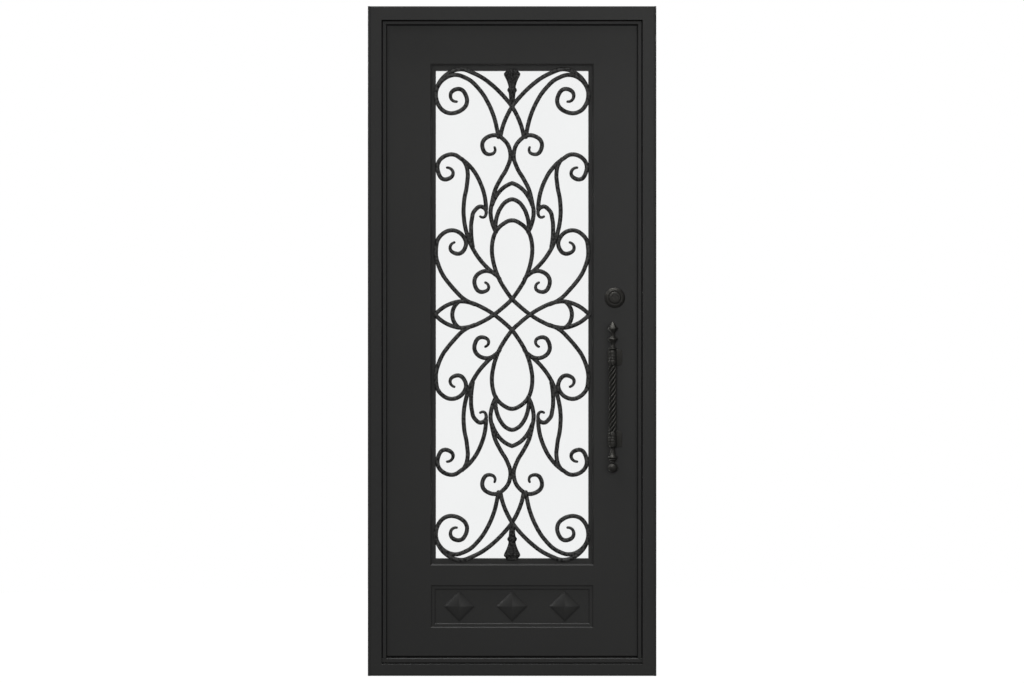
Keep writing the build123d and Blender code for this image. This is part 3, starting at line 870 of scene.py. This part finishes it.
def build_pull():
    """The outer pull, and its mirror image on the inner side."""
    grip = build_grip()
    upper_mount = mount_piece("pull_upper_mount")
    lower_mount = mount_piece("pull_lower_mount")
    upper_finial = upper_finial_piece()
    lower_finial = lower_finial_piece()
    inner_upper = join(through_leaf(upper_mount), through_leaf(upper_finial))
    inner_lower = join(through_leaf(lower_mount), through_leaf(lower_finial))
    made = [
        (grip, "rope_grip", "pull_grip"),
        (upper_mount, "upper_pull_mount", "pull_upper_mount"),
        (lower_mount, "lower_pull_mount", "pull_lower_mount"),
        (upper_finial, "faceted_finial", "pull_upper_finial"),
        (lower_finial, "ball_finial", "pull_lower_finial"),
        (through_leaf(grip), "inner_rope_grip", "inner_pull_grip"),
        (inner_upper, "inner_upper_pull_mount", "inner_pull_upper_mount"),
        (inner_lower, "inner_lower_pull_mount", "inner_pull_lower_mount"),
    ]
    for piece, name, node in made:
        dress(piece, name, bronze, "leaf", (node,))


build_pull()

# The deadbolt, and its thumb turn inside
lock_place = Vector((381 * mm, leaf_front, 1399 * mm))
rose_profile = [
    (37.4, 0), (38.0, 0.8), (38.0, 2.2), (36.8, 4.4), (34.8, 6.0), (32.6, 7.0), (31.4, 7.4), (31.0, 8.2),
    (30.6, 11.8), (29.8, 12.6), (28.6, 13.0), (25.6, 13.0), (24.8, 12.7), (23.4, 12.3), (22.2, 12.2),
]
cylinder_profile = [
    (22.0, 9.0), (22.0, 17.4), (20.8, 19.0), (19.0, 20.0), (13.2, 20.0), (12.6, 19.2), (11.8, 19.2),
    (11.2, 20.0), (1.0, 20.0),
]
thumb_rose_profile = [(29.0, 0), (30.0, 1.0), (30.0, 4.0), (28.4, 6.2), (25.0, 7.0), (1.0, 7.0)]
lock_sides = 64
keyway_low = Vector((-1.3, -21, -5.5)) * mm
keyway_high = Vector((1.3, -16, 5.5)) * mm
thumb_rose_sides = 56
thumb_corner = 5.2 * mm
thumb_arris = 1.5 * mm


def build_deadbolt():
    """A stepped rose round the cylinder's face, which has its keyway cut in."""
    towards = (0, -1, 0)
    rose = turned(in_mm(rose_profile), lock_sides, lock_place, towards)
    dress(rose, "stepped_rose", bronze, "leaf", ("deadbolt_rose",))
    cylinder = turned(in_mm(cylinder_profile), lock_sides, lock_place, towards)
    keyway = box(lock_place + keyway_low, lock_place + keyway_high)
    modify(cylinder, "BOOLEAN", object=keyway, operation="DIFFERENCE")
    bpy.data.objects.remove(keyway)
    dress(cylinder, "key_cylinder", bronze, "leaf", ("lock_cylinder",))


def build_thumb_turn():
    """The lever that turns the deadbolt from inside, on its own low rose."""
    inside = Vector((lock_place.x, leaf_back, lock_place.z))
    rose = turned(in_mm(thumb_rose_profile), thumb_rose_sides, inside, (0, 1, 0))
    dress(rose, "thumb_rose", bronze, "leaf", ("thumb_turn_rose",))
    low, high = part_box("thumb_turn")
    lever = box(low, high)
    round_edges(lever, lengthwise, thumb_corner, 6)
    round_edges(lever, lambda centre, along: near(centre.y, high.y), thumb_arris, 3)
    dress(lever, "thumb_lever", bronze, "leaf", ("thumb_turn",))


build_deadbolt()
build_thumb_turn()

# The scrollwork. Each kind of bar is bent along a chain of arcs, each tangent to the
# next, in one upright layer on the front of the ledge. Points are millimetres across
# and up from the light's middle, and are complex numbers while the bar is bent. The
# solids' bars are 14 mm wide. These are 16.6 mm wide, because a dark bar looks wider
# against the white ground in a photograph than in a render.
light_middle = (ledge_low.z + ledge_high.z) / 2
bar_radius = 8.3 * mm
bar_half_depth = 7.0 * mm
bar_layer = ledge_low.y - bar_half_depth
tip_share = 0.6
taper_length = 60 * mm
bar_step = 4.5 * mm
bar_roundness = 3
cap_angles = (25, 45, 65, 80, 88)
straight = 1e-5
cross_bar = [
    (-284, 812), (-275, 852), (-244, 891), (-194, 911), (-137, 894), (-106, 877),
    (-77, 855), (-35, 815), (0, 772), (24, 727), (36, 694), (43, 660),
]
corner_scroll = [
    (-206, 791), (-222, 796), (-229, 815), (-202, 838), (-168, 802), (-220, 748),
    (-283, 820), (-259, 870), (-216, 890), (-166, 876), (-119, 833), (-87, 782),
    (-68, 736), (-54, 678), (-51, 660),
]
neck_scroll = [
    (-65, 621), (-64, 606), (-84, 595), (-111, 628), (-71, 666), (-22, 640), (-6, 591),
    (-21, 540), (-42, 505), (-63, 463), (-74, 419), (-80, 379), (-74, 341), (-60, 307),
]
pointed_arch = [(0, 488), (-24, 477), (-44, 460), (-61, 437), (-74, 408)]
round_arch = [(0, 428), (-23, 419), (-44, 394), (-57, 362), (-62, 318)]
ribbon = [
    (0, 350), (-37, 334), (-62, 305), (-72, 274), (-75, 237), (-69, 193), (-49, 134),
    (-20, 85), (0, 58), (33, 27), (67, 0), (106, -24), (157, -45), (191, -49), (234, -38),
    (286, 0),
]
side_scroll = [
    (-215, 268), (-230, 252), (-204, 226), (-172, 256), (-183, 293), (-221, 313),
    (-269, 289), (-283, 234), (-267, 167), (-220, 99), (-168, 51), (-138, 38),
]
plume_bar = [
    (-241, 546), (-220, 531), (-245, 502), (-277, 541), (-226, 595), (-180, 572),
    (-142, 533), (-117, 487), (-102, 440), (-97, 392),
]
plume_stem = [
    (-185, 577), (-170, 553), (-165, 528), (-168, 480), (-178, 424), (-180, 372),
    (-172, 316), (-154, 262), (-128, 216), (-94, 176), (-53, 142),
]
hook_scroll = [
    (-118, 364), (-107, 361), (-96, 379), (-114, 401), (-140, 385), (-150, 351),
    (-152, 303), (-146, 252),
]
small_scroll = [
    (-99, 119), (-87, 101), (-110, 84), (-140, 119), (-97, 162), (-67, 153), (-46, 131),
]
end_crescent = [(-199, 47), (-222, 0), (-199, -47)]


def unit(vector):
    """The same direction, with a length of one."""
    return vector / abs(vector)


def heading(angle):
    """The direction at an angle from the right."""
    return complex(cos(angle), sin(angle))


def dot(first, second):
    """How far one direction goes along another."""
    return first.real * second.real + first.imag * second.imag


def directions_at(points):
    """The bar's direction at each point, from the circle through its neighbours."""
    inner = []
    for before, here, after in zip(points, points[1:], points[2:]):
        inner.append(unit((after - here) * (here - before) / (after - before)))
    first_chord = unit(points[1] - points[0])
    last_chord = unit(points[-1] - points[-2])
    return [first_chord**2 * inner[0].conjugate(), *inner, last_chord**2 * inner[-1].conjugate()]


def along_arc(start, end, leaving, step):
    """Points along one arc, its end left out, each with the arc's direction there."""
    chord = end - start
    turn = chord / leaving
    half_turn = atan2(turn.imag, turn.real)
    length = abs(chord) if abs(half_turn) < straight else abs(chord) * half_turn / sin(half_turn)
    count = max(1, round(length / step))
    places = []
    for number in range(count):
        share = number / count
        swing = half_turn * share
        reach = length * share if abs(half_turn) < straight else length * sin(swing) / half_turn
        places.append((start + reach * leaving * heading(swing), leaving * heading(2 * swing)))
    return places


def centreline(points):
    """Places and directions along the whole bar, from its given points."""
    drawn = [complex(x * mm, z * mm) for x, z in points]
    directions = directions_at(drawn)
    places = []
    for start, end, leaving, arriving in zip(drawn, drawn[1:], directions, directions[1:]):
        chord = end - start
        along = dot(chord, leaving + arriving)
        bend = 2 * (1 - dot(leaving, arriving)) * abs(chord) ** 2
        reach = abs(chord) ** 2 / (along + sqrt(along**2 + bend))
        first_corner = start + reach * leaving
        last_corner = end - reach * arriving
        joint = (first_corner + last_corner) / 2
        places += along_arc(start, joint, leaving, bar_step)
        places += along_arc(joint, end, unit(last_corner - first_corner), bar_step)
    places.append((drawn[-1], directions[-1]))
    return places


def rounded_end(place, direction, radius):
    """Stations that close a bar's end in a half ball."""
    swings = [radians(angle) for angle in cap_angles]
    return [(place + direction * radius * sin(swing), radius * cos(swing)) for swing in swings]


def bent_bar(points, tapered=False):
    """One bar as a round-ended tube along its centreline, drawn down towards a scroll's tip."""
    places = centreline(points)
    stations = []
    travelled = 0.0
    for number, (place, direction) in enumerate(places):
        if number:
            travelled += abs(place - places[number - 1][0])
        share = min(1.0, travelled / taper_length) if tapered else 1.0
        stations.append((place, bar_radius * (tip_share + (1 - tip_share) * share)))
    first_cap = rounded_end(places[0][0], -places[0][1], stations[0][1])
    last_cap = rounded_end(places[-1][0], places[-1][1], stations[-1][1])
    stations = first_cap[::-1] + stations + last_cap
    bpy.ops.curve.primitive_bezier_curve_add(location=(0, 0, 0))
    path = bpy.context.object
    path.data.splines.clear()
    spline = path.data.splines.new("POLY")
    spline.points.add(len(stations) - 1)
    for point, (place, radius) in zip(spline.points, stations):
        point.co = (place.real, 0, place.imag, 1)
        point.radius = radius / bar_radius
    path.data.bevel_depth = bar_radius
    path.data.bevel_resolution = bar_roundness
    path.data.use_fill_caps = True
    choose(path)
    bpy.ops.object.convert(target="MESH")
    return outward(bpy.context.object)


hammer_spacing = 16 * mm
hammer_depth = 0.5 * mm
hammer_marks = bpy.data.textures.new("hammer_marks", "VORONOI")
hammer_marks.noise_scale = hammer_spacing
hammer_marks.distance_metric = "DISTANCE"


def build_bars(name, node, points, tapered=False, across=True, upright=True):
    """A set of like bars, mirrored to the right and below, with shallow hammer dents."""
    piece = bent_bar(points, tapered)
    if across or upright:
        modify(piece, "MIRROR", use_axis=(across, False, upright), use_mirror_merge=False)
    piece.location = (0, bar_layer, light_middle)
    piece.scale = (1, bar_half_depth / bar_radius, 1)
    settle(piece)
    modify(piece, "DISPLACE", texture=hammer_marks, strength=hammer_depth, mid_level=0.4)
    return dress(piece, name, iron, "leaf", (node,), 60)


def both_ways(points):
    """The bar's points with their mirror image before them, for a bar that crosses over."""
    return [(-x, z) for x, z in reversed(points)] + points[1:]


build_bars("ribbon_bars", "centre_ribbon", both_ways(ribbon), across=False)
build_bars("neck_bars", "neck_scrolls", neck_scroll, tapered=True)
build_bars("corner_bars", "corner_scrolls", corner_scroll, tapered=True)
build_bars("crossing_bars", "cross_bars", cross_bar)
build_bars("pointed_arch_bars", "pointed_arches", pointed_arch)
build_bars("round_arch_bars", "round_arches", both_ways(round_arch), across=False)
build_bars("side_bars", "side_scrolls", side_scroll, tapered=True)
build_bars("plume_scroll_bars", "plume_bars", plume_bar, tapered=True)
build_bars("plume_stem_bars", "plume_stems", plume_stem)
build_bars("hook_bars", "hook_scrolls", hook_scroll, tapered=True)
build_bars("small_scroll_bars", "small_scrolls", small_scroll, tapered=True)
build_bars("crescent_bars", "end_crescents", end_crescent, upright=False)

# The husks: fluted castings that close the scrollwork at the top and the bottom
husk_profile = [
    (7, 784), (9.8, 787), (10.6, 798), (12.0, 812), (12.6, 825), (17.0, 828), (18.6, 833.5), (17.0, 839),
    (13.0, 842), (14.6, 850), (17.6, 860), (21.5, 870), (26.0, 879), (30.0, 886), (32.4, 892),
    (31.4, 897), (27.0, 901), (23.5, 904), (22.5, 909), (21.0, 913),
]
husk_sides = 40
husk_flutes = 10
groove_share = 0.62
fluted_from = 845 * mm
knob_spacing = 11.4 * mm
knob_height = 893.5 * mm
knob_reach = 5.8 * mm
knob_sides = 14
knob_profile = [(3.0, 0), (4.7, 1.4), (4.9, 2.6), (4.2, 4.2), (2.6, 5.3), (0.8, 5.8)]
husk_body_share = 0.78


def husk_knobs(half_depth, half_width):
    """The row of small knobs round the husk's rim, one made and the others copied from it."""
    first = turned(in_mm(knob_profile), knob_sides, (0, 0, 0), (0, -1, 0))
    ends = half_width - knob_reach
    places = [(-ends, 0, -pi / 2), (ends, 0, pi / 2)]
    for step in (-2, -1, 0, 1, 2):
        places.append((step * knob_spacing, knob_reach - half_depth, 0))
        places.append((step * knob_spacing, half_depth - knob_reach, pi))
    knobs = []
    for x, y, turn in places:
        knob = copy_of(first)
        knob.rotation_euler = (0, 0, turn)
        knob.location = (x, y, knob_height)
        knobs.append(settle(knob))
    bpy.data.objects.remove(first)
    return knobs


def build_husk():
    """A husk turned as a cup, fluted by drawing grooves inwards, flattened and set with its knobs."""
    low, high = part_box("husks")
    half_depth = (high.y - low.y) / 2
    piece = turned(in_mm(husk_profile), husk_sides, (0, 0, 0))
    per_flute = husk_sides // husk_flutes

    def in_groove(place, normal):
        around = atan2(place.y, place.x) / (2 * pi) * husk_sides
        return round(around) % per_flute == 0 and place.z > fluted_from

    with editing(piece, "VERT", in_groove):
        bpy.ops.transform.resize(value=(groove_share, groove_share, 1), center_override=(0, 0, 0))
    modify(piece, "SUBSURF", levels=1, render_levels=1)
    widest = max(vertex.co.y for vertex in piece.data.vertices)
    piece.scale = (1, husk_body_share * half_depth / widest, 1)
    piece = join(settle(piece), *husk_knobs(half_depth, widest))
    piece.location = (0, (low.y + high.y) / 2, light_middle)
    return settle(piece)


def build_husks():
    """The top husk and its mirror image at the bottom."""
    top = build_husk()
    bottom = copy_of(top)
    bottom.scale = (1, 1, -1)
    bottom.location = (0, 0, 2 * light_middle)
    outward(settle(bottom))
    return dress(join(top, bottom), "fluted_husks", cast_iron, "leaf", ("husks",), 50)


build_husks()

# CAD pieces whose shape is right keep it
for node, material in {"glass_pane": glass, "kick_panel": coat, "bottom_sweep": rubber}.items():
    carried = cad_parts[node]
    carried.data.materials.clear()
    carried.data.materials.append(material)

# The studio: a pale floor, a white ground and soft lights. The floor and the ground are
# white only to the camera and through the glass, so that they don't light the coat.
floor_radius = 6.0
floor_sides = 96
floor_colour = "#626262"
floor_glow = 0.95
glow_from = 1.0
glow_to = 4.5
ambient = 0.02
reflected = 0.14


def seen_directly(tree):
    """A value that is one to the camera and through the glass, and nought elsewhere."""
    path = add_node(tree, "ShaderNodeLightPath").outputs
    rays = {0: path["Is Camera Ray"], 1: path["Is Transmission Ray"]}
    return add_node(tree, "ShaderNodeMath", rays, operation="MAXIMUM").outputs["Value"]


def build_floor():
    """A round matt floor that lifts to white further out, so that its edge doesn't show."""
    bpy.ops.mesh.primitive_circle_add(vertices=floor_sides, radius=floor_radius, fill_type="NGON")
    floor = settle(bpy.context.object)
    floor.name = "studio_floor"
    material = bpy.data.materials.new("matt_studio_floor")
    tree = empty_tree(material)
    plain = add_node(tree, "ShaderNodeBsdfDiffuse", {"Color": colour(floor_colour)})
    place = add_node(tree, "ShaderNodeTexCoord").outputs["Object"]
    reach = add_node(tree, "ShaderNodeVectorMath", {0: place}, operation="LENGTH")
    glow = add_node(
        tree, "ShaderNodeMapRange",
        {"Value": reach.outputs["Value"], "From Min": glow_from, "From Max": glow_to, "To Min": floor_glow},
        interpolation_type="SMOOTHSTEP",
    )
    white = add_node(
        tree, "ShaderNodeEmission", {"Color": colour("#FFFFFF"), "Strength": glow.outputs["Result"]}
    )
    lifted = add_node(tree, "ShaderNodeAddShader", {0: plain.outputs["BSDF"], 1: white.outputs["Emission"]})
    mixed = add_node(
        tree, "ShaderNodeMixShader",
        {"Fac": seen_directly(tree), 1: plain.outputs["BSDF"], 2: lifted.outputs["Shader"]},
    )
    add_node(tree, "ShaderNodeOutputMaterial", {"Surface": mixed.outputs["Shader"]})
    floor.data.materials.append(material)


def build_world():
    """White to the camera and through the glass, dim grey in the satin coat's reflections, and a
    faint fill for the rest."""
    world = bpy.data.worlds.new("studio_ground")
    bpy.context.scene.world = world
    tree = empty_tree(world)
    path = add_node(tree, "ShaderNodeLightPath")
    mirrored = add_node(
        tree, "ShaderNodeMath", {0: path.outputs["Is Glossy Ray"], 1: reflected}, operation="MULTIPLY"
    )
    shown = add_node(
        tree, "ShaderNodeMath", {0: seen_directly(tree), 1: mirrored.outputs["Value"]}, operation="MAXIMUM"
    )
    strength = add_node(
        tree, "ShaderNodeMath", {0: shown.outputs["Value"], 1: ambient}, operation="MAXIMUM"
    )
    ground = add_node(
        tree, "ShaderNodeBackground", {"Color": colour("#FFFFFF"), "Strength": strength.outputs["Value"]}
    )
    add_node(tree, "ShaderNodeOutputWorld", {"Surface": ground.outputs["Background"]})


def soft_light(name, place, aim, width, height, power, mirrored):
    """A soft box at a place, turned towards a point; a fill isn't mirrored in the coat."""
    bpy.ops.object.light_add(type="AREA", location=place)
    light = bpy.context.object
    light.name = name
    light.data.shape = "RECTANGLE"
    light.data.size = width
    light.data.size_y = height
    light.data.energy = power
    light.rotation_euler = (Vector(aim) - Vector(place)).to_track_quat("-Z", "Y").to_euler()
    light.visible_camera = False
    light.visible_glossy = mirrored
    light.visible_transmission = False


door_middle = (0, 0, frame_top / 2)
# Each soft box: its place, its width and height, its power, and whether the coat mirrors it
soft_boxes = {
    "overhead_soft_box": ((-0.8, -2.2, 9.2), (6.0, 1.6), 208, True),
    "left_soft_box": ((-7.0, -2.0, 6.2), (3.0, 1.5), 46, True),
    "key_soft_box": ((-3.0, -7.5, 7.0), (3.0, 3.0), 84, True),
    "front_soft_box": ((-0.6, -14.0, 2.0), (2.5, 2.5), 1080, False),
    "near_soft_box": ((1.6, -5.0, 0.8), (2.0, 2.0), 40, False),
    "sheen_soft_box": ((1.5, -7.0, 2.6), (1.5, 1.5), 11, True),
    "rear_left_soft_box": ((-5.5, 5.5, 4.0), (2.5, 2.0), 260, True),
    "rear_right_soft_box": ((5.5, 5.5, 4.0), (2.5, 2.0), 260, True),
}
build_floor()
build_world()
for name, (place, (width, height), power, mirrored) in soft_boxes.items():
    soft_light(name, place, door_middle, width, height, power, mirrored)

# The camera stands square in front of the door with a long lens
picture_width = 1024
picture_centre_x = 512.0
picture_centre_y = 341.5
door_axis_pixel = 512.1
sill_pixel = 675.37
pixel_size = 3.704 * mm
camera_distance = 17.0
true_size_plane = -30 * mm
bpy.ops.object.camera_add(
    location=(
        (picture_centre_x - door_axis_pixel) * pixel_size,
        true_size_plane - camera_distance,
        (sill_pixel - picture_centre_y) * pixel_size,
    ),
    rotation=(pi / 2, 0, 0),
)
camera = bpy.context.object
camera.data.sensor_width = 36.0
camera.data.lens = camera.data.sensor_width * camera_distance / (picture_width * pixel_size)
camera.data.clip_end = 200.0
bpy.context.scene.camera = camera
bpy.context.scene.view_settings.view_transform = "Standard"
